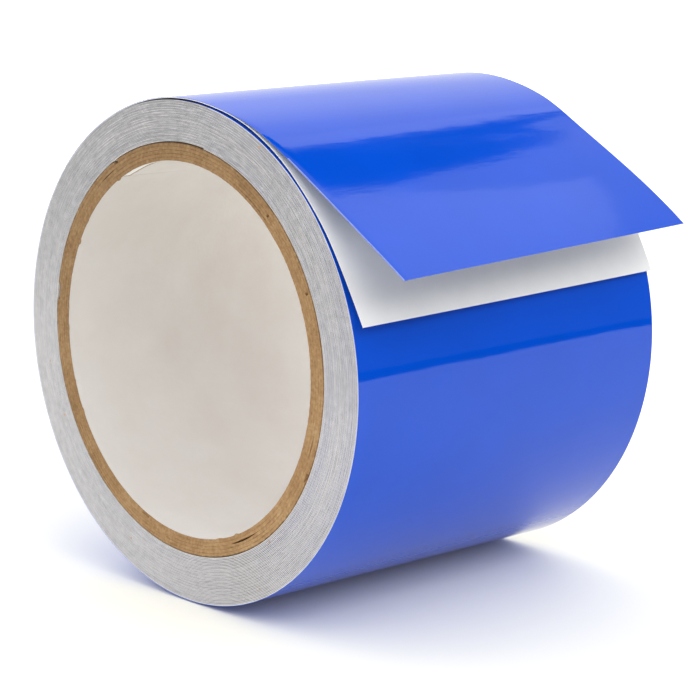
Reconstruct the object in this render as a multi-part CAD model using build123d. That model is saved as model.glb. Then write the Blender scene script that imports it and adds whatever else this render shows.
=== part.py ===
from build123d import *
from math import cos, pi, radians, sin, sqrt
import os

# A roll of self-adhesive sign vinyl on a paper core, lying on its side.
# Origin: middle of the core's bore, on its axis. +X: along that axis. +Z: up.
# Angles are measured round the axis in degrees, from straight up towards -Y.

# Driving dimensions, in millimetres and degrees.
WEB_WIDTH = 82.0
ROLL_RADIUS = 51.2
BORE_RADIUS = 38.1

BORE_PAPER_THICKNESS = 0.12
KRAFT_PLY_COUNT = 5
KRAFT_PLY_THICKNESS = 0.716

LINER_THICKNESS = 0.14
FILM_THICKNESS = 0.09
LAYER_GAP = 0.01
TURNS = 36

TAPE_THICKNESS = 0.13
TAPE_START_ANGLE = 14.0
TAPE_WIDTH_ANGLE = 26.0

LIFT_ANGLE = 10.0
SEPARATION_ANGLE = 30.0
LINER_LEAVES_ANGLE = 55.3
BUTT_GAP = 0.1

TAIL_SHIFT = 4.5
TAIL_SHIFT_ANGLE = 36.0

FILM_NEAR_LENGTH = 44.0
FILM_FAR_LENGTH = 39.0
FILM_NEAR_DROOP = 0.5
FILM_FAR_DROOP = 1.0
LINER_NEAR_LENGTH = 20.0
LINER_FAR_LENGTH = 17.0
LINER_NEAR_DROOP = 0.0
LINER_FAR_DROOP = 1.4

# Worked out from the driving dimensions.
NEAR_X = -WEB_WIDTH / 2
FAR_X = WEB_WIDTH / 2
WEB_THICKNESS = LINER_THICKNESS + FILM_THICKNESS + 2 * LAYER_GAP
LAST_TURN_RADIUS = ROLL_RADIUS - WEB_THICKNESS
PACK_RADIUS = LAST_TURN_RADIUS - TURNS * WEB_THICKNESS
CORE_RADIUS = BORE_RADIUS + BORE_PAPER_THICKNESS + KRAFT_PLY_COUNT * KRAFT_PLY_THICKNESS

# Heights of each layer's two faces within one thickness of the web.
LINER_FACES = (LAYER_GAP / 2, LAYER_GAP / 2 + LINER_THICKNESS)
FILM_FACES = (LINER_FACES[1] + LAYER_GAP, LINER_FACES[1] + LAYER_GAP + FILM_THICKNESS)


def around(radius, angle):
    """The point at this radius and angle round the roll's axis, as (y, z)."""
    return Vector(-radius * sin(radians(angle)), radius * cos(radians(angle)))


def across_width(profile):
    """A flat profile in (y, z), carried over the full width of the web."""
    return extrude(Plane.YZ.offset(NEAR_X) * profile, WEB_WIDTH)


def tube(inner_radius, outer_radius):
    """A closed paper ply, as long as the web is wide."""
    return across_width(Circle(outer_radius) - Circle(inner_radius))


def arc_about_axis(radius, start_angle, end_angle):
    """An arc about the roll's axis."""
    middle_angle = (start_angle + end_angle) / 2
    return ThreePointArc(
        around(radius, start_angle),
        around(radius, middle_angle),
        around(radius, end_angle),
    )


def strip(lower, upper):
    """The closed face between two paths that run the same way."""
    start = Line(lower[0] @ 0, upper[0] @ 0)
    end = Line(lower[-1] @ 1, upper[-1] @ 1)
    return make_face([*lower, *upper, start, end])


def spiral(face_height, first_turn, turn_count):
    """Half circles that gain half a web thickness each; every turn starts at the lift line."""
    arcs = []
    for half_turn in range(2 * first_turn, 2 * (first_turn + turn_count)):
        start_radius = PACK_RADIUS + face_height + half_turn * WEB_THICKNESS / 2
        start_angle = LIFT_ANGLE + 180 * half_turn
        arcs.append(
            ThreePointArc(
                around(start_radius, start_angle),
                around(start_radius + WEB_THICKNESS / 4, start_angle + 90),
                around(start_radius + WEB_THICKNESS / 2, start_angle + 180),
            )
        )
    return arcs


def wound_layer(faces, first_turn, turn_count):
    """One layer of the web over these turns of the roll, counted from the core."""
    lower = spiral(faces[0], first_turn, turn_count)
    upper = spiral(faces[1], first_turn, turn_count)
    return across_width(strip(lower, upper))


def tail_radius(face_height, angle):
    """Radius of the tail's own arc, which bulges a little off the turn beneath it."""
    bulge_angle = radians(angle - TAIL_SHIFT_ANGLE)
    start_bulge = radians(LIFT_ANGLE - TAIL_SHIFT_ANGLE)
    start_radius = LAST_TURN_RADIUS + face_height
    along = start_radius - TAIL_SHIFT * cos(start_bulge)
    arc_radius = sqrt(along**2 + (TAIL_SHIFT * sin(start_bulge)) ** 2)
    return TAIL_SHIFT * cos(bulge_angle) + sqrt(arc_radius**2 - (TAIL_SHIFT * sin(bulge_angle)) ** 2)


def tail_point(face_height, angle):
    """A point of the tail's own arc."""
    return around(tail_radius(face_height, angle), angle)


def tail_arc(face_height, start_angle, end_angle):
    """A stretch of the tail's own arc."""
    return ThreePointArc(
        tail_point(face_height, start_angle),
        tail_point(face_height, (start_angle + end_angle) / 2),
        tail_point(face_height, end_angle),
    )


def free_run(face_height, leave_angle, length, droop):
    """The path of a free end: it leaves the tail's arc along its tangent and droops to its tip."""
    start = tail_point(face_height, leave_angle)
    outward = (start - around(TAIL_SHIFT, TAIL_SHIFT_ANGLE)).normalized()
    forward = Vector(-outward.Y, outward.X)
    middle = start + forward * (length / 2) - outward * (droop / 4)
    tip = start + forward * length - outward * droop
    if droop == 0:
        return Line(start, tip)
    return ThreePointArc(start, middle, tip)


def free_end(faces, leave_angle, near, far):
    """A free end whose near and far edges have their own (length, droop)."""
    ends = []
    for x, (length, droop) in ((NEAR_X, near), (FAR_X, far)):
        lower = free_run(faces[0], leave_angle, length, droop)
        upper = free_run(faces[1], leave_angle, length, droop)
        ends.append(Plane.YZ.offset(x) * strip([lower], [upper]))
    return loft(ends, ruled=True)


def gap_angle():
    """Half the gap between two butted ends, as an angle."""
    return BUTT_GAP / ROLL_RADIUS * 180 / pi


def core_plies():
    """The paper core: a white bore lining and the kraft plies wound round it."""
    plies = {"core_bore_paper": tube(BORE_RADIUS, BORE_RADIUS + BORE_PAPER_THICKNESS)}
    inner_radius = BORE_RADIUS + BORE_PAPER_THICKNESS
    for number in range(1, KRAFT_PLY_COUNT + 1):
        plies[f"core_kraft_ply_{number}"] = tube(inner_radius, inner_radius + KRAFT_PLY_THICKNESS)
        inner_radius += KRAFT_PLY_THICKNESS
    return plies


def start_tape():
    """The strip that holds the web's first end on the core."""
    end_angle = TAPE_START_ANGLE + TAPE_WIDTH_ANGLE
    lower = arc_about_axis(CORE_RADIUS, TAPE_START_ANGLE, end_angle)
    upper = arc_about_axis(CORE_RADIUS + TAPE_THICKNESS, TAPE_START_ANGLE, end_angle)
    return across_width(strip([lower], [upper]))


def tail_film_on_liner():
    """The film of the lifted tail, up to the line where it parts from its liner."""
    start_angle = LIFT_ANGLE + gap_angle()
    lower = tail_arc(FILM_FACES[0], start_angle, SEPARATION_ANGLE)
    upper = tail_arc(FILM_FACES[1], start_angle, SEPARATION_ANGLE)
    return across_width(strip([lower], [upper]))


def tail_liner():
    """The liner of the lifted tail, with its free end standing off the roll."""
    start_angle = LIFT_ANGLE + gap_angle()
    lower = tail_arc(LINER_FACES[0], start_angle, LINER_LEAVES_ANGLE)
    upper = tail_arc(LINER_FACES[1], start_angle, LINER_LEAVES_ANGLE)
    near = (LINER_NEAR_LENGTH, LINER_NEAR_DROOP)
    far = (LINER_FAR_LENGTH, LINER_FAR_DROOP)
    return across_width(strip([lower], [upper])) + free_end(LINER_FACES, LINER_LEAVES_ANGLE, near, far)


def film_flap():
    """The film's free end, peeled off its liner."""
    near = (FILM_NEAR_LENGTH, FILM_NEAR_DROOP)
    far = (FILM_FAR_LENGTH, FILM_FAR_DROOP)
    return free_end(FILM_FACES, SEPARATION_ANGLE + gap_angle(), near, far)


def sub_parts():
    """Every sub-part of the roll by its node's name."""
    return {
        **core_plies(),
        "core_start_tape": start_tape(),
        "wound_release_liner": wound_layer(LINER_FACES, 0, TURNS - 1),
        "wound_vinyl_film": wound_layer(FILM_FACES, 0, TURNS - 1),
        "outer_turn_release_liner": wound_layer(LINER_FACES, TURNS - 1, 1),
        "outer_turn_vinyl_film": wound_layer(FILM_FACES, TURNS - 1, 1),
        "tail_release_liner": tail_liner(),
        "tail_film_on_liner": tail_film_on_liner(),
        "tail_film_flap": film_flap(),
    }


os.makedirs("parts", exist_ok=True)
for node, shape in sub_parts().items():
    export_step(shape, f"parts/{node}.step")
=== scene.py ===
from math import cos, exp, floor, pi, radians, sin, sqrt

import bpy
from mathutils import Matrix, Vector, noise


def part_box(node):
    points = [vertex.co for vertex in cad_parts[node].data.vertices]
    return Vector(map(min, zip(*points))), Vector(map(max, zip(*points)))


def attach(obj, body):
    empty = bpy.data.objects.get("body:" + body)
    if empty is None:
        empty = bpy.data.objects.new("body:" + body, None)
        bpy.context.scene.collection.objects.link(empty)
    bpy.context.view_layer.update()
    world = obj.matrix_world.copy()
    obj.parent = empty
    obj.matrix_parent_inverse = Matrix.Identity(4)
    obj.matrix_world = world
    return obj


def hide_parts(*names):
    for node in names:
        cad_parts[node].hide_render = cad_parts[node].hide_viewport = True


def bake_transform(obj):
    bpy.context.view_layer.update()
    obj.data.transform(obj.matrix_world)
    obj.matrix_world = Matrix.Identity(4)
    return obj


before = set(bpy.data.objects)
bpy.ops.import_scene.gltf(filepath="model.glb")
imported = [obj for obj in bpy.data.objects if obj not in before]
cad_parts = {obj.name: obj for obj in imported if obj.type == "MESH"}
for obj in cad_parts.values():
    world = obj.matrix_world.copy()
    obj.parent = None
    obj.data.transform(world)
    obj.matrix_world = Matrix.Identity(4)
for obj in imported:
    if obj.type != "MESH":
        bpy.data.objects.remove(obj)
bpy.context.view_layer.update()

# A roll of sign vinyl on a paper core. Lengths are in metres. Angles are measured round
# the roll's axis in degrees, from straight up towards -Y, as in the CAD.
MM = 0.001

# Sizes read from the frame.
RING_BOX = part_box("core_bore_paper")
OUTER_PLY_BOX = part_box("core_kraft_ply_5")
FLAP_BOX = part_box("tail_film_flap")
NEAR_X = RING_BOX[0].x
FAR_X = RING_BOX[1].x
WIDTH = FAR_X - NEAR_X
CORE_OUTER_RADIUS = OUTER_PLY_BOX[1].z
FLOOR_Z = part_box("outer_turn_vinyl_film")[0].z

# The design's own sizes, which the frame's boxes do not give.
ROLL_RADIUS = 51.2 * MM
BORE_RADIUS = 38.1 * MM
BORE_PAPER_THICKNESS = 0.12 * MM
KRAFT_PLY_THICKNESS = 0.716 * MM
KRAFT_PLY_COUNT = 5
WEB_THICKNESS = 0.25 * MM
LINER_FACES = (0.005 * MM, 0.145 * MM)
FILM_FACES = (0.155 * MM, 0.245 * MM)
TURNS = 36
LAST_TURN_RADIUS = ROLL_RADIUS - WEB_THICKNESS
PACK_RADIUS = LAST_TURN_RADIUS - TURNS * WEB_THICKNESS
TAPE_ANGLES = (14.0, 40.0)
LIFT_ANGLE = 10.0
TAIL_BEND_END_ANGLE = 22.0
FLAP_START_ANGLE = 26.0
SEPARATION_ANGLE = 30.0
LINER_LEAVES_ANGLE = 55.3
TAIL_SHIFT = 4.5 * MM
TAIL_SHIFT_ANGLE = 36.0
FLAP_BEND_END = 6.0 * MM
FILM_LENGTHS = (44.0 * MM, 39.0 * MM)
LINER_END_LENGTHS = (20.0 * MM, 17.6 * MM)

# How the roll is out of round at its near end: mean, upward, forward, oval and slanted-oval
# parts of the radial shift, at the bore, at the core's outside and at the roll's outside.
BORE_SHIFTS = [s * MM for s in (-0.15, 0.42, 0.0, -0.27, -0.18)]
CORE_SHIFTS = [s * MM for s in (-0.05, 0.42, -0.15, -0.42, -0.28)]
ROLL_SHIFTS = [s * MM for s in (-0.15, -0.20, 0.32, -0.40, -0.42)]
FAR_SWELL = 0.5 * MM
# How far the tail's far edge drops where the film parts from the liner.
FAR_DROP = -0.25 * MM
# How far the film's near edge curls down, and over what width.
NEAR_CURL = 0.11 * MM
NEAR_CURL_WIDTH = 1.5 * MM
LOOSE_TURN_SHIFT = -0.4 * MM

# How finely the pieces are divided.
STEPS_PER_TURN = 360
OUTER_STEPS = 720
COLUMNS = 57
# Places across the web, as shares of its width, closer together at the near edge.
FILM_COLUMNS = [0.0, 0.0035, 0.007, 0.011, 0.0155]
FILM_COLUMNS += [i / (COLUMNS - 1) for i in range(1, COLUMNS)]
WOUND_COLUMNS = [0.0, 0.1, 0.3, 0.6, 1.0]
TAIL_FILM_POINTS = 49
FLAP_ROOT_POINTS = 13
FLAP_POINTS = 121
TAIL_LINER_POINTS = 121
LINER_END_POINTS = 61
TAPE_POINTS = 60

# The camera: a long lens, low and to the left of the lifted end.
CAMERA_AZIMUTH = -42.351
CAMERA_ELEVATION = 10.958
CAMERA_DISTANCE = 10.0764 * ROLL_RADIUS
CAMERA_RIGHT = 0.0567 * ROLL_RADIUS
CAMERA_DOWN = 0.0904 * ROLL_RADIUS
CAMERA_LENS = 126.63

# The table reaches this far forward, back and to each side.
TABLE_FRONT = -0.39
TABLE_BACK = 6.0
TABLE_SIDE = 6.0


# ---------------------------------------------------------------- small helpers

def around(radius, angle):
    """(y, z) at this radius and angle round the roll's axis."""
    return -radius * sin(radians(angle)), radius * cos(radians(angle))


def smooth_step(low, high, value):
    """0 below low, 1 above high, and smooth between."""
    t = min(max((value - low) / (high - low), 0.0), 1.0)
    return t * t * (3 - 2 * t)


def mix(a, b, share):
    return a + (b - a) * share


def spread(count):
    """Evenly spaced shares from 0 to 1."""
    return [i / (count - 1) for i in range(count)]


def fine_ends(places):
    """The same places with one more just inside each end, so that shading runs on over a border."""
    step = (places[1] - places[0]) * 0.03
    return [places[0], places[0] + step, *places[1:-1], places[-1] - step, places[-1]]


def wave(x, y, z):
    """Smooth noise from -1 to 1."""
    return noise.noise(Vector((x, y, z)))


def harmonics(parts, angle):
    """A radial shift made of its mean, upward, forward, oval and slanted-oval parts."""
    mean, upward, forward, oval, slanted = parts
    t = radians(angle)
    return mean + upward * cos(t) + forward * sin(t) + oval * cos(2 * t) + slanted * sin(2 * t)


def far_swell(angle):
    """How far the roll's front swells at the far end."""
    return FAR_SWELL * max(0.0, sin(radians(angle - LIFT_ANGLE))) ** 2


def core_shift(radius, angle):
    """Out-of-round shift of the core at the near end."""
    depth = (radius - BORE_RADIUS) / (CORE_OUTER_RADIUS - BORE_RADIUS)
    return mix(harmonics(BORE_SHIFTS, angle), harmonics(CORE_SHIFTS, angle), depth)


def winding_shift(turn, angle):
    """Out-of-round shift of a turn at the near end. The last fifth of the last turn is loose."""
    depth = min(turn / (TURNS - 1), 1.0)
    shift = mix(harmonics(CORE_SHIFTS, angle), harmonics(ROLL_SHIFTS, angle), depth)
    loose = smooth_step(TURNS - 0.2, TURNS, turn)
    return mix(shift, LOOSE_TURN_SHIFT, loose)


# ---------------------------------------------------------------- mesh building

def add_piece(name, vertices, faces, face_slots, materials, sharp_angle=40.0):
    """A new mesh object, smooth apart from its sharp edges."""
    mesh = bpy.data.meshes.new(name)
    mesh.from_pydata([tuple(v) for v in vertices], [], faces)
    for material in materials:
        mesh.materials.append(material)
    mesh.polygons.foreach_set("material_index", face_slots)
    mesh.shade_smooth()
    mesh.set_sharp_from_angle(angle=radians(sharp_angle))
    mesh.validate()
    mesh.update()
    piece = bpy.data.objects.new(name, mesh)
    bpy.context.scene.collection.objects.link(piece)
    return piece


def closed_sheet(name, outer, inner, materials):
    """A thin closed body between two grids of points.

    Materials: the outer side's, the inner side's, the cut edges'.
    """
    rows, columns = len(outer), len(outer[0])
    vertices = [p for row in outer for p in row] + [p for row in inner for p in row]
    below = rows * columns
    faces, slots = [], []
    for i in range(rows - 1):
        for j in range(columns - 1):
            a = i * columns + j
            b = a + columns
            faces.append((a, a + 1, b + 1, b))
            slots.append(0)
            faces.append((below + a, below + b, below + b + 1, below + a + 1))
            slots.append(1)
    for i in range(rows - 1):
        for j, flip in ((0, False), (columns - 1, True)):
            a = i * columns + j
            b = a + columns
            wall = (a, b, below + b, below + a)
            faces.append(wall[::-1] if flip else wall)
            slots.append(2)
    for j in range(columns - 1):
        for i, flip in ((0, True), (rows - 1, False)):
            a = i * columns + j
            wall = (a, a + 1, below + a + 1, below + a)
            faces.append(wall[::-1] if flip else wall)
            slots.append(2)
    return add_piece(name, vertices, faces, slots, materials)


def lathe(name, profile, steps, slots, materials):
    """A closed ring. profile(angle) gives a loop of (x, radius), slots each side's material."""
    loops = [profile(360 * i / steps) for i in range(steps)]
    sides = len(loops[0])
    vertices = []
    for i, loop in enumerate(loops):
        angle = 360 * i / steps
        for x, radius in loop:
            vertices.append((x, *around(radius, angle)))
    faces, face_slots = [], []
    for i in range(steps):
        j = (i + 1) % steps
        for k in range(sides):
            n = (k + 1) % sides
            faces.append((i * sides + k, i * sides + n, j * sides + n, j * sides + k))
            face_slots.append(slots[k])
    return add_piece(name, vertices, faces, face_slots, materials, 50.0)


# ---------------------------------------------------------------- the tail's shape

def tail_radius(height, angle):
    """Radius of the tail's own arc, which bulges a little off the turn beneath it."""
    bulge = radians(angle - TAIL_SHIFT_ANGLE)
    start_bulge = radians(LIFT_ANGLE - TAIL_SHIFT_ANGLE)
    along = LAST_TURN_RADIUS + height - TAIL_SHIFT * cos(start_bulge)
    arc_radius = sqrt(along**2 + (TAIL_SHIFT * sin(start_bulge)) ** 2)
    return TAIL_SHIFT * cos(bulge) + sqrt(arc_radius**2 - (TAIL_SHIFT * sin(bulge)) ** 2)


def near_weight(share):
    """How strongly the near edge's own shape is felt, from 1 at the near edge."""
    return (1 - share) ** 1.5


def tail_shift(angle, share):
    """Shift of the whole tail towards the roll, where the turn beneath is out of round."""
    near = LOOSE_TURN_SHIFT * (1 - smooth_step(LIFT_ANGLE, SEPARATION_ANGLE, angle))
    far = FAR_DROP * smooth_step(14, SEPARATION_ANGLE, angle) * (1 - smooth_step(34, 46, angle))
    rise = tail_radius(0.0, angle) - LAST_TURN_RADIUS
    soft_start = -rise * (1 - smooth_step(LIFT_ANGLE, TAIL_BEND_END_ANGLE + 4, angle))
    return near * near_weight(share) + far * share**1.5 + soft_start


def near_curl(angle, share):
    """The film's near edge curls down over its last millimetre or so."""
    inside = share * WIDTH / NEAR_CURL_WIDTH
    return -NEAR_CURL * max(0.0, 1 - inside) ** 2 * smooth_step(17, 27, angle)


def film_lift(angle, share):
    """How far the film's near edge has already come away before the separation line."""
    rise = max(0.0, (angle - 20) / 10)
    return 0.2 * MM * rise**2 * near_weight(share)


def liner_dip(angle, share):
    """How far the liner's near edge lies closer to the roll than its design arc."""
    dip = -0.55 * smooth_step(14, 30, angle)
    rise = 0.73 * max(0.0, (angle - 42) / (LINER_LEAVES_ANGLE - 42)) ** 1.7
    return (dip + rise) * MM * near_weight(share)


def tail_frame(height, angle):
    """A point of the tail's arc in (y, z), with its forward and outward directions."""
    y, z = around(tail_radius(height, angle), angle)
    centre_y, centre_z = around(TAIL_SHIFT, TAIL_SHIFT_ANGLE)
    outward = Vector((y - centre_y, z - centre_z)).normalized()
    return Vector((y, z)), Vector((-outward.y, outward.x)), outward


def bent_run(height, leave_angle, length, count, slope_change, start_shift=0.0):
    """Points and outward directions of a free run.

    slope_change(share) is how far it has turned down, in degrees.
    """
    point, forward, outward = tail_frame(height, leave_angle)
    point = point + outward * start_shift
    step = length / (count - 1)
    points, outwards = [point.copy()], [outward.copy()]
    for i in range(1, count):
        turn = radians(slope_change((i - 0.5) / (count - 1)))
        direction = forward * cos(turn) - outward * sin(turn)
        point = point + direction * step
        turn_here = radians(slope_change(i / (count - 1)))
        points.append(point.copy())
        outwards.append(outward * cos(turn_here) + forward * sin(turn_here))
    return points, outwards


def tail_arc(height, angles, shift_at):
    """Points and outward directions of the tail's arc. shift_at(angle) moves it outwards."""
    points, outwards = [], []
    for angle in angles:
        point, _, outward = tail_frame(height, angle)
        points.append(point + outward * shift_at(angle))
        outwards.append(outward)
    return points, outwards


def tail_path(height, angles, run, shift_at):
    """The tail's arc over these angles, then its free run: (length, steps, slope_change)."""
    points, outwards = tail_arc(height, angles[:-1], shift_at)
    run_points, run_outwards = bent_run(height, angles[-1], *run, shift_at(angles[-1]))
    return points + run_points, outwards + run_outwards


def sheet_grids(columns, thickness, path_at):
    """Outer and inner grids of a tail sheet.

    path_at(share) gives points and outward directions of its outer face.
    """
    paths = [path_at(share) for share in columns]
    outer, inner = [], []
    for i in range(len(paths[0][0])):
        outer_row, inner_row = [], []
        for share, (points, outwards) in zip(columns, paths):
            x = mix(NEAR_X, FAR_X, share)
            upper, out = points[i], outwards[i]
            lower = upper - out * thickness
            outer_row.append((x, upper.x, upper.y))
            inner_row.append((x, lower.x, lower.y))
        outer.append(outer_row)
        inner.append(inner_row)
    return outer, inner


# ---------------------------------------------------------------- materials

def new_material(name):
    """A material with its shader, ready for nodes."""
    material = bpy.data.materials.new(name)
    material.use_nodes = True
    nodes = material.node_tree.nodes
    return material, nodes, material.node_tree.links, nodes["Principled BSDF"]


def noise_node(nodes, links, scale, detail=2.0, stretch=None, roughness=0.5):
    """Noise over the object's own coordinates. scale is in features per metre."""
    coordinates = nodes.new("ShaderNodeTexCoord")
    source = coordinates.outputs["Object"]
    if stretch is not None:
        mapping = nodes.new("ShaderNodeMapping")
        mapping.inputs["Scale"].default_value = stretch
        links.new(source, mapping.inputs["Vector"])
        source = mapping.outputs["Vector"]
    texture = nodes.new("ShaderNodeTexNoise")
    texture.inputs["Scale"].default_value = scale
    texture.inputs["Detail"].default_value = detail
    texture.inputs["Roughness"].default_value = roughness
    links.new(source, texture.inputs["Vector"])
    return texture.outputs["Fac"]


def ramp_node(nodes, links, factor, stops):
    """A colour ramp of (place, colour) stops."""
    ramp = nodes.new("ShaderNodeValToRGB")
    elements = ramp.color_ramp.elements
    elements[0].position, elements[0].color = stops[0][0], (*stops[0][1], 1.0)
    elements[1].position, elements[1].color = stops[-1][0], (*stops[-1][1], 1.0)
    for place, colour in stops[1:-1]:
        element = elements.new(place)
        element.color = (*colour, 1.0)
    links.new(factor, ramp.inputs["Fac"])
    return ramp.outputs["Color"]


def bump_node(nodes, links, height, distance, strength=1.0, under=None):
    """A bump from a height, on top of another bump if there is one."""
    bump = nodes.new("ShaderNodeBump")
    bump.inputs["Distance"].default_value = distance
    bump.inputs["Strength"].default_value = strength
    links.new(height, bump.inputs["Height"])
    if under is not None:
        links.new(under, bump.inputs["Normal"])
    return bump.outputs["Normal"]


def object_place(nodes, links, turn=0.0):
    """X, Y and Z of the object's own coordinates, turned about X by this many degrees."""
    source = nodes.new("ShaderNodeTexCoord").outputs["Object"]
    if turn:
        mapping = nodes.new("ShaderNodeMapping")
        mapping.inputs["Rotation"].default_value = (radians(turn), 0.0, 0.0)
        links.new(source, mapping.inputs["Vector"])
        source = mapping.outputs["Vector"]
    split = nodes.new("ShaderNodeSeparateXYZ")
    links.new(source, split.inputs[0])
    return split.outputs


def range_node(nodes, links, value, start, end, smooth=False):
    """Runs from start's second number to end's while value runs between their first."""
    node = nodes.new("ShaderNodeMapRange")
    if smooth:
        node.interpolation_type = "SMOOTHSTEP"
    node.inputs["From Min"].default_value, node.inputs["To Min"].default_value = start
    node.inputs["From Max"].default_value, node.inputs["To Max"].default_value = end
    links.new(value, node.inputs["Value"])
    return node.outputs["Result"]


def add_share(nodes, links, value, share, other):
    """value times share, plus other."""
    node = nodes.new("ShaderNodeMath")
    node.operation = "MULTIPLY_ADD"
    node.inputs[1].default_value = share
    links.new(value, node.inputs[0])
    links.new(other, node.inputs[2])
    return node.outputs["Value"]


def scaled_colour(nodes, links, colour, factor):
    """A colour made lighter or darker by a factor."""
    node = nodes.new("ShaderNodeVectorMath")
    node.operation = "SCALE"
    links.new(colour, node.inputs[0])
    links.new(factor, node.inputs["Scale"])
    return node.outputs["Vector"]


def film_material():
    """Glossy calendered vinyl: deep blue, with faint orange peel that wobbles its reflections."""
    material, nodes, links, shader = new_material("vinyl_film_face")
    cloud = noise_node(nodes, links, 60, 3.0)
    stops = [(0.3, (0.0006, 0.068, 0.56)), (0.7, (0.0010, 0.073, 0.60))]
    colour = ramp_node(nodes, links, cloud, stops)
    links.new(colour, shader.inputs["Base Color"])
    shader.inputs["Roughness"].default_value = 0.055
    shader.inputs["IOR"].default_value = 1.43
    swell = noise_node(nodes, links, 110, 2.0, (0.5, 1.0, 1.0))
    streak = noise_node(nodes, links, 420, 3.0, (0.35, 1.6, 1.6))
    peel = noise_node(nodes, links, 1500, 2.0)
    normal = bump_node(nodes, links, swell, 0.00002)
    normal = bump_node(nodes, links, streak, 0.000005, 1.0, normal)
    normal = bump_node(nodes, links, peel, 0.0000015, 1.0, normal)
    links.new(normal, shader.inputs["Normal"])
    return material


def film_back_material():
    """The clear adhesive coat on the film's back: a greyed, paler blue."""
    material, nodes, links, shader = new_material("vinyl_film_adhesive")
    streak = noise_node(nodes, links, 260, 4.0, (1.0, 0.2, 0.2))
    colour = ramp_node(nodes, links, streak, [(0.3, (0.24, 0.29, 0.48)), (0.7, (0.30, 0.35, 0.54))])
    links.new(colour, shader.inputs["Base Color"])
    shader.inputs["Roughness"].default_value = 0.38
    links.new(bump_node(nodes, links, streak, 0.00004), shader.inputs["Normal"])
    return material


def film_edge_material(name, dark, light):
    """The film's cut edge, paler than the film's face: painted light on the edge."""
    material, nodes, links, shader = new_material(name)
    edge_mottle = noise_node(nodes, links, 1500, 3.0)
    colour = ramp_node(nodes, links, edge_mottle, [(0.3, dark), (0.7, light)])
    links.new(colour, shader.inputs["Base Color"])
    shader.inputs["Roughness"].default_value = 0.35
    return material


def liner_material(name, light, dark, gloss):
    """Release liner: smooth clay-coated paper with a faint cloudiness and fibre."""
    material, nodes, links, shader = new_material(name)
    cloud = noise_node(nodes, links, 120, 5.0, None, 0.6)
    colour = ramp_node(nodes, links, cloud, [(0.3, dark), (0.7, light)])
    links.new(colour, shader.inputs["Base Color"])
    shader.inputs["Roughness"].default_value = gloss
    shader.inputs["IOR"].default_value = 1.42
    fibre = noise_node(nodes, links, 1400, 3.0, (1.0, 0.6, 0.6))
    links.new(bump_node(nodes, links, fibre, 0.000018), shader.inputs["Normal"])
    return material


def wound_edge_material(name, light, dark):
    """Cut edges of the wound layers: grey lines of uneven tone, dust and a few kraft flecks."""
    material, nodes, links, shader = new_material(name)
    # The tone attribute holds the lines' uneven tone together with painted shade and light round
    # the roll.
    tone = nodes.new("ShaderNodeAttribute")
    tone.attribute_name = "tone"
    mottle = noise_node(nodes, links, 700, 4.0, (0.2, 1.0, 1.0))
    both = add_share(nodes, links, mottle, 0.35, tone.outputs["Fac"])
    colour = ramp_node(nodes, links, both, [(0.25, dark), (0.95, light)])

    cells = nodes.new("ShaderNodeTexVoronoi")
    cells.inputs["Scale"].default_value = 170
    coordinates = nodes.new("ShaderNodeTexCoord")
    links.new(coordinates.outputs["Object"], cells.inputs["Vector"])
    near_centre = nodes.new("ShaderNodeMath")
    near_centre.operation = "LESS_THAN"
    near_centre.inputs[1].default_value = 0.045
    links.new(cells.outputs["Distance"], near_centre.inputs[0])
    fleck = nodes.new("ShaderNodeMix")
    fleck.data_type = "RGBA"
    fleck.inputs["B"].default_value = (0.55, 0.33, 0.13, 1.0)
    links.new(near_centre.outputs["Value"], fleck.inputs["Factor"])
    links.new(colour, fleck.inputs["A"])
    links.new(fleck.outputs["Result"], shader.inputs["Base Color"])
    shader.inputs["Roughness"].default_value = 0.6
    links.new(bump_node(nodes, links, mottle, 0.00005), shader.inputs["Normal"])
    return material


def kraft_material(name, warmth):
    """Kraft board: brown, fibrous, with darker and paler specks, paler low at the front and darker
    high at the back: painted light and shade.
    """
    material, nodes, links, shader = new_material(name)
    fibre = noise_node(nodes, links, 1500, 5.0, (1.0, 1.0, 1.0), 0.6)
    patch = noise_node(nodes, links, 160, 3.0)
    both = add_share(nodes, links, patch, 0.45, fibre)
    light = (0.340 * warmth, 0.203 * warmth, 0.096 * warmth)
    dark = (0.235 * warmth, 0.132 * warmth, 0.058 * warmth)
    stops = [(0.46, dark), (0.74, light), (1.0, (0.43, 0.29, 0.155))]
    colour = ramp_node(nodes, links, both, stops)
    place = object_place(nodes, links, -50.0)
    radius = CORE_OUTER_RADIUS
    # Paler low at the front, darker high at the back: painted light and shade.
    painted_shade = range_node(nodes, links, place["Y"], (-radius, 1.22), (radius, 0.86))
    shade = scaled_colour(nodes, links, colour, painted_shade)
    links.new(shade, shader.inputs["Base Color"])
    shader.inputs["Roughness"].default_value = 0.9
    shader.inputs["Specular IOR Level"].default_value = 0.25
    links.new(bump_node(nodes, links, fibre, 0.00003), shader.inputs["Normal"])
    return material


def bore_paper_material(name, dark, light):
    """White core lining: uncoated paper, softly mottled, a little warm, darker at the near end and
    paler towards the far end: painted light.
    """
    material, nodes, links, shader = new_material(name)
    cloud = noise_node(nodes, links, 75, 5.0, (1.0, 1.0, 1.0), 0.6)
    colour = ramp_node(nodes, links, cloud, [(0.25, dark), (0.75, light)])
    place = object_place(nodes, links)
    # Darker at the near end, paler towards the far end: painted light.
    painted_light = range_node(nodes, links, place["X"], (NEAR_X, 0.84), (FAR_X, 1.14))
    links.new(scaled_colour(nodes, links, colour, painted_light), shader.inputs["Base Color"])
    shader.inputs["Roughness"].default_value = 0.75
    grain = noise_node(nodes, links, 1100, 4.0)
    links.new(bump_node(nodes, links, grain, 0.00004), shader.inputs["Normal"])
    return material


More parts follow.
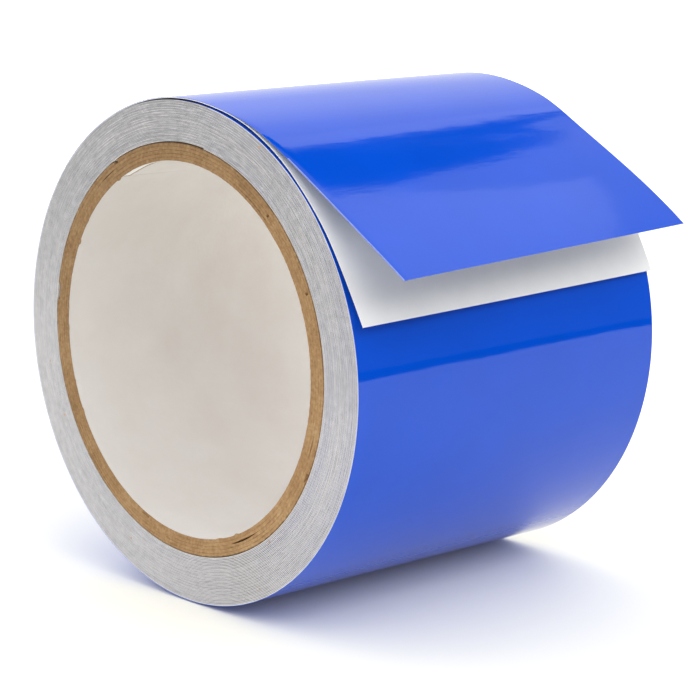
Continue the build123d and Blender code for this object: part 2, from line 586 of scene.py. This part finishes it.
FILM_FACE = film_material()
FILM_BACK = film_back_material()
# Both are paler than the film's face: painted light on the cut edges, and in the second a painted
# highlight along the free end's near edge.
FILM_EDGE = film_edge_material("vinyl_film_cut_edge", (0.03, 0.11, 0.58), (0.09, 0.19, 0.74))
FILM_EDGE_HIGHLIGHT = film_edge_material("vinyl_film_edge_highlight", (0.16, 0.22, 0.62), (0.24, 0.30, 0.68))
LINER_FACE = liner_material("liner_release_side", (0.90, 0.90, 0.90), (0.86, 0.86, 0.86), 0.42)
LINER_BACK = liner_material("liner_back", (0.82, 0.82, 0.82), (0.76, 0.76, 0.76), 0.6)
LINER_EDGE = liner_material("liner_cut_edge", (0.86, 0.86, 0.86), (0.74, 0.74, 0.74), 0.7)
WOUND_LINER_EDGE = wound_edge_material("wound_liner_edge", (0.70, 0.68, 0.69), (0.17, 0.17, 0.18))
WOUND_FILM_EDGE = wound_edge_material("wound_film_edge", (0.64, 0.625, 0.645), (0.14, 0.145, 0.17))
BORE_LINING = bore_paper_material("bore_lining", (0.78, 0.738, 0.705), (0.84, 0.815, 0.80))
# A paler copy of the lining for its cut end at the near rim: painted light on that end.
BORE_LINING_LIT_EDGE = bore_paper_material(
    "bore_lining_lit_cut_edge", (0.86, 0.85, 0.83), (0.90, 0.89, 0.88)
)
# A brown line along the lap's inner edge: painted shadow and glue stain.
BORE_LAP_GLUE_AND_SHADE_LINE = bore_paper_material("bore_lining_lap_glue_and_shade_line", (0.30, 0.18, 0.09), (0.42, 0.28, 0.16))


# ---------------------------------------------------------------- the core

# Glue lines that have opened at the near end: the ply inside them, middle angle, half width
# in degrees, opening.
SLITS = (
    (2, 152.0, 6.0, 0.36 * MM),
    (3, -35.0, 3.5, 0.20 * MM),
    (3, 107.7, 3.6, 0.20 * MM),
    (1, 34.0, 9.0, 0.10 * MM),
    (4, -140.0, 8.0, 0.10 * MM),
)
# Chips out of a ply's near end: the ply, middle angle, half width in degrees, depth.
CHIPS = (
    (5, -80.0, 2.2, 0.9 * MM),
    (5, -30.0, 0.9, 1.0 * MM),
    (5, 117.0, 1.1, 0.8 * MM),
    (4, 66.0, 0.5, 0.6 * MM),
    (3, 41.0, 0.4, 0.6 * MM),
    (1, -160.0, 1.6, 0.3 * MM),
)
# Burrs of kraft over the bore's near rim: middle angle, half width in degrees, height.
BURRS = (
    (-117.0, 1.4, 0.40 * MM),
    (-107.0, 1.1, 0.30 * MM),
    (-90.0, 1.6, 0.35 * MM),
    (-84.0, 1.0, 0.25 * MM),
    (-61.0, 1.2, 0.45 * MM),
    (-53.0, 1.6, 0.25 * MM),
    (-31.0, 1.2, 0.35 * MM),
    (154.6, 1.2, 0.25 * MM),
    (163.0, 2.0, 0.15 * MM),
)


def hump(angle, middle, half_width):
    """1 at the middle angle, 0 beyond the half width, and smooth between."""
    away = abs((angle - middle + 180) % 360 - 180)
    return cos(away / half_width * pi / 2) ** 0.7 if away < half_width else 0.0


def slit_opening(boundary, angle):
    """How far the glue line outside this ply has opened at the near end."""
    here = [slit[1:] for slit in SLITS if slit[0] == boundary]
    return sum(opening * hump(angle, middle, half) for middle, half, opening in here)


def chip_depth(number, angle):
    """How deep this ply's near end is chipped."""
    here = [chip[1:] for chip in CHIPS if chip[0] == number]
    return sum(depth * hump(angle, middle, half) ** 0.3 for middle, half, depth in here)


def burr_height(angle):
    """How far the kraft's burrs stand inwards over the bore's near rim."""
    y, z = around(1.0, angle)
    fray = 0.05 * MM * abs(wave(y * 22, z * 22, 3.3)) + 0.04 * MM * abs(wave(y * 70, z * 70, 8.8))
    return fray + sum(h * hump(angle, middle, half) for middle, half, h in BURRS)


# Where the lining's lap seam starts and fades at the near rim.
SEAM_ANGLES = (-29.5, -8.0)


def ply_profile(number, inner_radius, outer_radius):
    """The section of one ply at each angle, with a slightly rough cut at both ends."""
    def profile(angle):
        y, z = around(1.0, angle)
        rough = [0.05 * MM * wave(y * 9, z * 9, number * 3.1 + k * 0.8) for k in range(4)]
        for k in range(4):
            rough[k] += 0.05 * MM * wave(y * 45, z * 45, number + k * 1.7)
        inner_slit, outer_slit = slit_opening(number - 1, angle), slit_opening(number, angle)
        near_inner = inner_radius + inner_slit / 2 + core_shift(inner_radius, angle)
        near_outer = outer_radius - outer_slit / 2 + core_shift(outer_radius, angle)
        rim = near_inner - (burr_height(angle) if number == 1 else 0.0)
        depth = 6 * MM
        fade = 1 - depth / WIDTH
        deep_outer = outer_radius + fade * core_shift(outer_radius, angle)
        deep_inner = inner_radius + fade * core_shift(inner_radius, angle)
        face = NEAR_X + chip_depth(number, angle)
        rim_width = (0.16 if number == KRAFT_PLY_COUNT else 0.22) * MM
        return [
            (face + rough[0], rim + 0.02 * MM),
            (face + rough[1] - 0.01 * MM, mix(near_inner, near_outer, 0.35)),
            (face + rough[2] - 0.01 * MM, near_outer - rim_width),
            (face + rough[3], near_outer - 0.03 * MM),
            (face + 0.06 * MM, near_outer),
            (NEAR_X + depth, deep_outer),
            (FAR_X - 0.05 * MM, outer_radius),
            (FAR_X - rough[3], outer_radius - 0.02 * MM),
            (FAR_X - rough[1], mix(inner_radius, outer_radius, 0.5)),
            (FAR_X - rough[0], inner_radius + 0.02 * MM),
            (FAR_X - 0.05 * MM, inner_radius),
            (NEAR_X + depth, deep_inner),
            (face + 0.10 * MM, near_inner),
        ]
    return profile


# A darker copy of the kraft for the outer ply's rim: painted shade along its join with the winding.
KRAFT_SHADED_RIM = kraft_material("kraft_board_shaded_rim", 0.55)


def make_kraft_plies():
    """Five kraft plies, glued one on the other, with glue lines that have opened here and there."""
    inner_radius = BORE_RADIUS + BORE_PAPER_THICKNESS
    for number in range(1, KRAFT_PLY_COUNT + 1):
        outer_radius = inner_radius + KRAFT_PLY_THICKNESS
        material = kraft_material(f"kraft_board_{number}", 1.0 - 0.05 * (number % 2))
        profile = ply_profile(number, inner_radius, outer_radius)
        # Only the outermost ply's rim band takes the darker kraft: painted shade.
        rim = 1 if number == KRAFT_PLY_COUNT else 0
        slots = [0, 0, rim, rim] + [0] * 9
        piece = lathe(f"kraft_ply_{number}", profile, OUTER_STEPS, slots, [material, KRAFT_SHADED_RIM])
        finish_piece(piece, "roll", f"core_kraft_ply_{number}")
        inner_radius = outer_radius


def lap_depth(angle):
    """How deep the lining's lap runs in from the near rim."""
    return 1.9 * MM * smooth_step(SEAM_ANGLES[0], SEAM_ANGLES[1], angle)


def lap_height(angle):
    """How far the lap stands off the lining beneath it."""
    start, end = SEAM_ANGLES
    if not start < angle < end:
        return 0.0
    rise, fall = smooth_step(start, start + 4, angle), smooth_step(start + 5, end, angle)
    return 0.62 * MM * rise * (1 - fall)


def bore_profile(angle):
    """The section of the bore lining at each angle."""
    angle = (angle + 180) % 360 - 180
    y, z = around(1.0, angle)
    fray = 0.12 * MM + 0.04 * MM * wave(y * 14, z * 14, 4.2) + 0.03 * MM * wave(y * 60, z * 60, 1.1)
    inner, outer = BORE_RADIUS, BORE_RADIUS + BORE_PAPER_THICKNESS
    ripple = 0.02 * MM * wave(y * 3, z * 3, 7.7)
    inner_shift, outer_shift = core_shift(inner, angle), core_shift(outer, angle)
    lap, reach = lap_height(angle), 0.5 * MM + lap_depth(angle)

    def inside(depth, radius):
        return NEAR_X + depth, radius + inner_shift * (1 - depth / WIDTH)

    # line is the width of the brown lap line: painted shadow and glue stain along the lap's edge.
    line = 0.003 * MM + 0.14 * MM * min(lap / (0.2 * MM), 1.0)
    return [
        inside(fray + 0.5 * line, inner - lap),
        inside(fray, inner - lap + line),
        (NEAR_X + fray, inner + 0.06 * MM + inner_shift),
        (NEAR_X + fray, outer - 0.01 * MM + outer_shift),
        (NEAR_X + 4 * MM, outer - 0.01 * MM + outer_shift * (1 - 4 * MM / WIDTH)),
        (NEAR_X + 20 * MM, outer - 0.01 * MM + outer_shift * (1 - 20 * MM / WIDTH)),
        (FAR_X, outer),
        (FAR_X, mix(inner, outer, 0.5)),
        (FAR_X, inner),
        inside(WIDTH * 0.75, inner + ripple),
        inside(WIDTH * 0.5, inner - ripple),
        inside(WIDTH * 0.25, inner + ripple),
        inside(reach + 0.06 * MM, inner),
        inside(reach, inner - lap * 0.8),
    ]


def make_bore_lining():
    """The white paper that lines the bore, its near rim a little lifted at the top."""
    # Slot 2 is the brown lap line, painted shadow and glue stain; slot 1, the cut end, takes the
    # paler copy, painted light.
    slots = [2, 1, 1] + [0] * 11
    materials = [BORE_LINING, BORE_LINING_LIT_EDGE, BORE_LAP_GLUE_AND_SHADE_LINE]
    piece = lathe("bore_lining", bore_profile, OUTER_STEPS, slots, materials)
    finish_piece(piece, "roll", "core_bore_paper")


# ---------------------------------------------------------------- the winding

def edge_shift(turn, angle, side):
    """How far one turn's cut edge stands out of the end face."""
    y, z = around(1.0, angle)
    shift = 0.10 * MM * wave(y * 0.9 + side * 5, z * 0.9, turn * 0.07)
    shift += 0.022 * MM * wave(y * 1.6, z * 1.6 + side * 3, turn * 1.9)
    shift += 0.012 * MM * wave(y * 9, z * 9, turn * 3.7 + side)
    return shift * (1 - smooth_step(TURNS - 0.1, TURNS, turn))


def painted_rake_contrast(angle):
    """How strongly the layer lines show: most at the top and low at the front. This contrast is
    painted light and shade, standing in for light raking across the edges.
    """
    front = hump(angle, 148, 55)
    top = hump(angle, 18, 70)
    return 0.10 + 0.26 * front + 0.20 * top


def line_tone(turn, angle, side):
    """Tone of one turn's cut edge, about 0 to 1. side is 1 for the liner and -1 for the film."""
    y, z = around(1.0, angle)
    wander = 0.55 * wave(y * 10, z * 10, turn * 0.35) + 0.25 * wave(y * 30, z * 30, turn * 0.8)
    strength = painted_rake_contrast(angle) * (0.6 + 1.1 * abs(wave(y * 6 + 3, z * 6, turn * 0.5)))
    tone = 0.58 + strength * (side + 0.55 * sin(2 * pi * (turn / 1.9 + wander)))
    tone += 0.05 * wave(y * 1.1, z * 1.1, turn * 0.22) + 0.05 * wave(y * 14, z * 14, turn * 2.2)
    # Darker towards the top and a little paler low at the front: painted shade and light.
    return tone - 0.06 - 0.24 * hump(angle, 8, 95) + 0.06 * hump(angle, 130, 90)


def even_turn(turn):
    """The first turns lie close on the core, and step up where the web's end is beneath them."""
    whole = floor(turn)
    stepped = whole + smooth_step(0.93, 1.0, turn - whole)
    return mix(stepped, turn, smooth_step(0, 10, turn))


def wound_layer(name, faces, first_turn, turn_count, steps, columns, materials, side):
    """One layer of the web, wound from the lift line back to the lift line."""
    outer, inner, tones = [], [], []
    for turn in fine_ends([first_turn + i / steps for i in range(turn_count * steps + 1)]):
        angle = (LIFT_ANGLE + 360 * turn) % 360
        base = PACK_RADIUS + even_turn(turn) * WEB_THICKNESS
        near = NEAR_X + edge_shift(turn, angle, 0)
        far = FAR_X + edge_shift(turn, angle, 1)
        near_shift = winding_shift(turn, angle)
        far_shift = far_swell(angle) * min(turn / (TURNS - 1), 1.0)
        rows = ([], [])
        for share in columns:
            radius = base + mix(far_shift, near_shift, near_weight(share))
            for row, face in zip(rows, (faces[1], faces[0])):
                row.append((mix(near, far, share), *around(radius + face, angle)))
        outer.append(rows[0])
        inner.append(rows[1])
        tones.append(line_tone(turn, angle, side))
    piece = closed_sheet(name, outer, inner, materials)
    attribute = piece.data.attributes.new("tone", "FLOAT", "POINT")
    values = [tone for tone in tones for _ in columns] * 2
    attribute.data.foreach_set("value", values)
    return piece


def make_winding():
    """The inner turns and the last whole turn, each with its liner and its film."""
    inner_turns = (0, TURNS - 1, STEPS_PER_TURN)
    last_turn = (TURNS - 1, 1, OUTER_STEPS)
    liner_sides, film_sides = [LINER_FACE, LINER_BACK], [FILM_FACE, FILM_BACK]
    liner = wound_layer(
        "wound_liner", LINER_FACES, *inner_turns, WOUND_COLUMNS, [*liner_sides, WOUND_LINER_EDGE], 1
    )
    finish_piece(liner, "roll", "wound_release_liner")
    film = wound_layer(
        "wound_film", FILM_FACES, *inner_turns, WOUND_COLUMNS, [*film_sides, WOUND_FILM_EDGE], -1
    )
    finish_piece(film, "roll", "wound_vinyl_film")
    last_liner = wound_layer(
        "last_turn_liner", LINER_FACES, *last_turn, WOUND_COLUMNS, [*liner_sides, LINER_EDGE], 1
    )
    finish_piece(last_liner, "roll", "outer_turn_release_liner")
    last_film = wound_layer(
        "last_turn_film", FILM_FACES, *last_turn, FILM_COLUMNS, [*film_sides, FILM_EDGE], -1
    )
    finish_piece(last_film, "roll", "outer_turn_vinyl_film")


# ---------------------------------------------------------------- the lifted tail

def flap_turn(share_across):
    """How the film's free end turns along its length, near edge to far edge."""
    def slope_change(share):
        near = 2.0 - 4.6 * exp(-share * 6.8) + 1.2 * smooth_step(0.75, 1.0, share)
        far = 7.5 * share**2.4 - 0.8 * sin(pi * share) + 0.7 * exp(-((share / 0.09 - 1) ** 2) * 3)
        return mix(far, near, near_weight(share_across))
    return slope_change


def liner_turn(share_across):
    """How the liner's free end turns along its length, near edge to far edge."""
    def slope_change(share):
        near = 4.0 * share - 5.5 * exp(-share * 5.7)
        return mix(7.0 * share, near, near_weight(share_across))
    return slope_change


def film_shift_at(share):
    """The tail film's shift at each angle, for one place across the web."""
    shifts = (tail_shift, film_lift, near_curl)
    return lambda angle: sum(shift(angle, share) for shift in shifts)


def bend_point(angle):
    """A point of the tail's arc."""
    y, z = around(tail_radius(FILM_FACES[1], angle), angle)
    return (0.0, y, z)


def arc_length(start, end):
    """Length of the tail's arc between two angles."""
    points = [tail_frame(0.0, mix(start, end, s))[0] for s in spread(50)]
    return sum((b - a).length for a, b in zip(points, points[1:]))


def make_tail_film():
    """The film of the lifted tail while it is still on its liner."""
    shares = spread(TAIL_FILM_POINTS)
    angles = fine_ends([mix(LIFT_ANGLE, FLAP_START_ANGLE, s) for s in shares])

    def path_at(share):
        return tail_arc(FILM_FACES[1], angles, film_shift_at(share))

    outer, inner = sheet_grids(FILM_COLUMNS, FILM_FACES[1] - FILM_FACES[0], path_at)
    piece = closed_sheet("tail_film", outer, inner, [FILM_FACE, FILM_BACK, FILM_EDGE])
    length = arc_length(LIFT_ANGLE, FLAP_START_ANGLE)
    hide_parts("tail_film_on_liner")
    bend_point(LIFT_ANGLE)
    bend_point(TAIL_BEND_END_ANGLE)
    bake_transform(piece)


def make_flap():
    """The film's free end, from just before it parts from the liner."""
    shares = spread(FLAP_ROOT_POINTS)
    angles = fine_ends([mix(FLAP_START_ANGLE, SEPARATION_ANGLE, s) for s in shares])

    def path_at(share):
        run = (mix(*FILM_LENGTHS, share), FLAP_POINTS, flap_turn(share))
        return tail_path(FILM_FACES[1], angles, run, film_shift_at(share))

    outer, inner = sheet_grids(FILM_COLUMNS, FILM_FACES[1] - FILM_FACES[0], path_at)
    materials = [FILM_FACE, FILM_BACK, FILM_EDGE, FILM_EDGE_HIGHLIGHT]
    piece = closed_sheet("film_flap", outer, inner, materials)
    # A narrow strip along the free end's near edge takes the paler edge material: a painted
    # highlight.
    highlight_x = NEAR_X + FILM_COLUMNS[1] * WIDTH
    highlight_y = FLAP_BOX[1].y - FLAP_BEND_END
    for polygon in piece.data.polygons:
        if polygon.center.x < highlight_x and polygon.center.y < highlight_y:
            polygon.material_index = materials.index(FILM_EDGE_HIGHLIGHT)
    length = arc_length(FLAP_START_ANGLE, SEPARATION_ANGLE) + sum(FILM_LENGTHS) / 2
    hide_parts("tail_film_flap")
    leave, forward, _ = tail_frame(FILM_FACES[1], SEPARATION_ANGLE)
    bend_point(SEPARATION_ANGLE)
    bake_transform(piece)


def make_tail_liner():
    """The liner of the lifted tail: round the roll, then standing off it."""
    shares = spread(TAIL_LINER_POINTS)
    angles = fine_ends([mix(LIFT_ANGLE, LINER_LEAVES_ANGLE, s) for s in shares])

    def shift_at(share):
        return lambda angle: tail_shift(angle, share) + liner_dip(angle, share)

    def path_at(share):
        run = (mix(*LINER_END_LENGTHS, share), LINER_END_POINTS, liner_turn(share))
        return tail_path(LINER_FACES[1], angles, run, shift_at(share))

    outer, inner = sheet_grids(spread(COLUMNS), LINER_FACES[1] - LINER_FACES[0], path_at)
    piece = closed_sheet("tail_liner", outer, inner, [LINER_FACE, LINER_BACK, LINER_EDGE])
    length = arc_length(LIFT_ANGLE, LINER_LEAVES_ANGLE) + sum(LINER_END_LENGTHS) / 2
    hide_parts("tail_release_liner")
    bend_point(LIFT_ANGLE)
    bend_point(TAIL_BEND_END_ANGLE)
    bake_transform(piece)


def finish_piece(piece, body, node):
    """Puts a rigid piece on its body, in place of its CAD node."""
    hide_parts(node)
    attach(piece, body)


def make_start_tape():
    """The strip that holds the web's first end on the core."""
    material, nodes, links, shader = new_material("start_tape_paper")
    crepe = noise_node(nodes, links, 800, 3.0, (0.3, 1.0, 1.0))
    colour = ramp_node(nodes, links, crepe, [(0.3, (0.60, 0.48, 0.28)), (0.7, (0.74, 0.63, 0.42))])
    links.new(colour, shader.inputs["Base Color"])
    shader.inputs["Roughness"].default_value = 0.6
    links.new(bump_node(nodes, links, crepe, 0.00003), shader.inputs["Normal"])
    near_x, far_x = NEAR_X + 0.3 * MM, FAR_X - 0.3 * MM
    grids = []
    for height in (0.125 * MM, 0.005 * MM):
        grid = []
        for share in spread(TAPE_POINTS):
            angle = mix(*TAPE_ANGLES, share)
            radius = CORE_OUTER_RADIUS + height
            near_point = around(radius + core_shift(CORE_OUTER_RADIUS, angle), angle)
            grid.append([(near_x, *near_point), (far_x, *around(radius, angle))])
        grids.append(grid)
    piece = closed_sheet("start_tape", *grids, [material] * 3)
    finish_piece(piece, "roll", "core_start_tape")


# ---------------------------------------------------------------- the stage

def make_floor():
    """A plain white table that glows, faintly near the roll and fully towards the back, so that it
    stays bright far from the roll. The glow is painted light.
    """
    mesh = bpy.data.meshes.new("table_top")
    corners = [
        (-TABLE_SIDE, TABLE_FRONT, FLOOR_Z),
        (TABLE_SIDE, TABLE_FRONT, FLOOR_Z),
        (TABLE_SIDE, TABLE_BACK, FLOOR_Z),
        (-TABLE_SIDE, TABLE_BACK, FLOOR_Z),
    ]
    mesh.from_pydata(corners, [], [(0, 1, 2, 3)])
    table = bpy.data.objects.new("table_top", mesh)
    bpy.context.scene.collection.objects.link(table)
    material, nodes, links, shader = new_material("white_table")
    shader.inputs["Base Color"].default_value = (0.90, 0.895, 0.83, 1.0)
    shader.inputs["Roughness"].default_value = 0.8
    shader.inputs["Specular IOR Level"].default_value = 0.2
    place = object_place(nodes, links)
    # Emission rising from faint near the roll to full at the back: painted light.
    glow = range_node(nodes, links, place["Y"], (0.10, 0.045), (1.2, 1.0), smooth=True)
    shader.inputs["Emission Color"].default_value = (1.0, 1.0, 1.0, 1.0)
    links.new(glow, shader.inputs["Emission Strength"])
    mesh.materials.append(material)


def make_softbox(name, centre, target, size, radiance, turn=0.0):
    """A rectangular soft light: its face's brightness, and its turn about its own axis."""
    data = bpy.data.lights.new(name, "AREA")
    data.shape = "RECTANGLE"
    data.size, data.size_y = size
    data.energy = radiance * pi * size[0] * size[1]
    light = bpy.data.objects.new(name, data)
    light.location = centre
    direction = Vector(target) - Vector(centre)
    facing = direction.to_track_quat("-Z", "Y").to_matrix()
    light.rotation_euler = (facing @ Matrix.Rotation(radians(turn), 3, "Z")).to_euler()
    light.visible_camera = False
    bpy.context.scene.collection.objects.link(light)


def make_world():
    """White to look at, soft ambient light from above, dark in reflections."""
    world = bpy.data.worlds.new("studio")
    bpy.context.scene.world = world
    world.use_nodes = True
    nodes, links = world.node_tree.nodes, world.node_tree.links
    background = nodes["Background"]
    path = nodes.new("ShaderNodeLightPath")
    camera_share = nodes.new("ShaderNodeMath")
    camera_share.operation = "MULTIPLY"
    camera_share.inputs[1].default_value = 1.05
    links.new(path.outputs["Is Camera Ray"], camera_share.inputs[0])
    coordinates = nodes.new("ShaderNodeTexCoord")
    split = nodes.new("ShaderNodeSeparateXYZ")
    links.new(coordinates.outputs["Generated"], split.inputs[0])
    sky = range_node(nodes, links, split.outputs["Z"], (0.05, 0.0), (0.60, 0.80), smooth=True)
    ambient = nodes.new("ShaderNodeMath")
    ambient.operation = "MULTIPLY_ADD"
    links.new(path.outputs["Is Diffuse Ray"], ambient.inputs[0])
    links.new(sky, ambient.inputs[1])
    links.new(camera_share.outputs["Value"], ambient.inputs[2])
    links.new(ambient.outputs["Value"], background.inputs["Strength"])
    background.inputs["Color"].default_value = (1.0, 1.0, 1.0, 1.0)


def make_lights():
    """Softboxes overhead, a lit backdrop behind, and fills at the front, the end and the right.

    Each is placed by its centre and the point it faces, then its size and brightness.
    """
    make_softbox("overhead", (0.85, -0.328, 1.1), (0.85, -0.328, 0.0), (3.0, 1.10), 0.70, 21.0)
    make_softbox("hair_strip", (0.45, 0.10, 1.0), (0.45, 0.10, 0.0), (1.4, 0.36), 0.44)
    make_softbox("backdrop", (0.9, 1.0, 1.1), (0.9, 0.0, 1.1), (5.6, 2.50), 1.04)
    make_softbox("backdrop_top", (0.9, 0.99, 2.17), (0.9, 0.0, 2.17), (5.6, 0.36), 0.12)
    make_softbox("front_fill", (-0.3, -1.25, 0.95), (0.0, 0.0, 0.0), (1.6, 0.9), 2.4)
    make_softbox("end_fill", (-1.15, -0.05, 0.75), (0.0, 0.0, 0.0), (1.0, 0.9), 0.6)
    make_softbox("right_fill", (1.4, -0.45, 0.35), (0.0, 0.0, 0.0), (0.7, 0.5), 1.2)
    make_softbox("front_card", (1.35, -1.45, 0.25), (0.0, 0.0, 0.0), (2.0, 0.75), 0.20)


def make_camera():
    """The scene's camera, with the roll's axis a little off the middle of its view."""
    azimuth, elevation = radians(CAMERA_AZIMUTH), radians(CAMERA_ELEVATION)
    level = cos(elevation)
    back = Vector((sin(azimuth) * level, -cos(azimuth) * level, sin(elevation)))
    right = (-back).cross(Vector((0, 0, 1))).normalized()
    up = right.cross(-back)
    data = bpy.data.cameras.new("camera")
    data.sensor_width = 36.0
    data.lens = CAMERA_LENS
    data.clip_start = 0.01
    data.clip_end = 50.0
    camera = bpy.data.objects.new("camera", data)
    camera.location = back * CAMERA_DISTANCE + right * CAMERA_RIGHT - up * CAMERA_DOWN
    camera.rotation_euler = Matrix((right, up, back)).transposed().to_euler()
    bpy.context.scene.collection.objects.link(camera)
    bpy.context.scene.camera = camera


make_camera()
make_kraft_plies()
make_bore_lining()
make_start_tape()
make_winding()
make_tail_liner()
make_tail_film()
make_flap()
make_floor()
make_world()
make_lights()
bpy.context.scene.view_settings.view_transform = "Standard"
